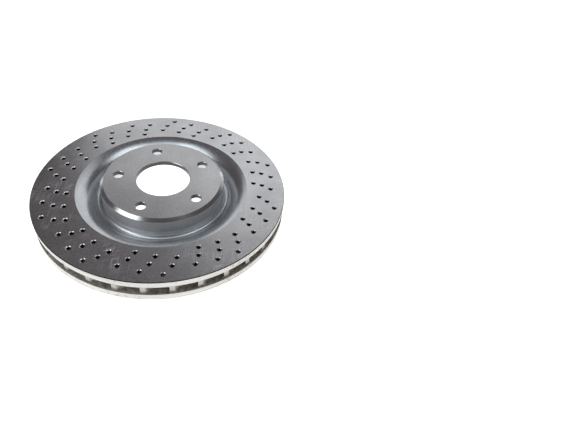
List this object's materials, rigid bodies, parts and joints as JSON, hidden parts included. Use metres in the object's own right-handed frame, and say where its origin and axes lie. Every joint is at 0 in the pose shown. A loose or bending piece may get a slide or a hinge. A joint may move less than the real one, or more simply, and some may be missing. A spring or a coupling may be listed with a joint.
{
  "type": "ventilated brake disc",
  "caption": "Ventilated brake disc: cross-drilled friction plates held apart by curved vanes, with a raised hat that bolts between wheel and hub.",
  "frame": {"origin": "centre of the hub bore, in the plane of the hat's inner face that seats on the hub", "axes": "+Z along the disc's axis, outboard towards the wheel; one stud hole lies on +Y"},
  "size_m": [0.32, 0.32, 0.042],
  "materials": {
    "machined_iron": "satin machined grey iron with a bright protective coat, rougher as-cast metal inside the vents"
  },
  "bodies": {
    "root": {"brake_disc": "machined_iron"}
  },
  "joints": []
}
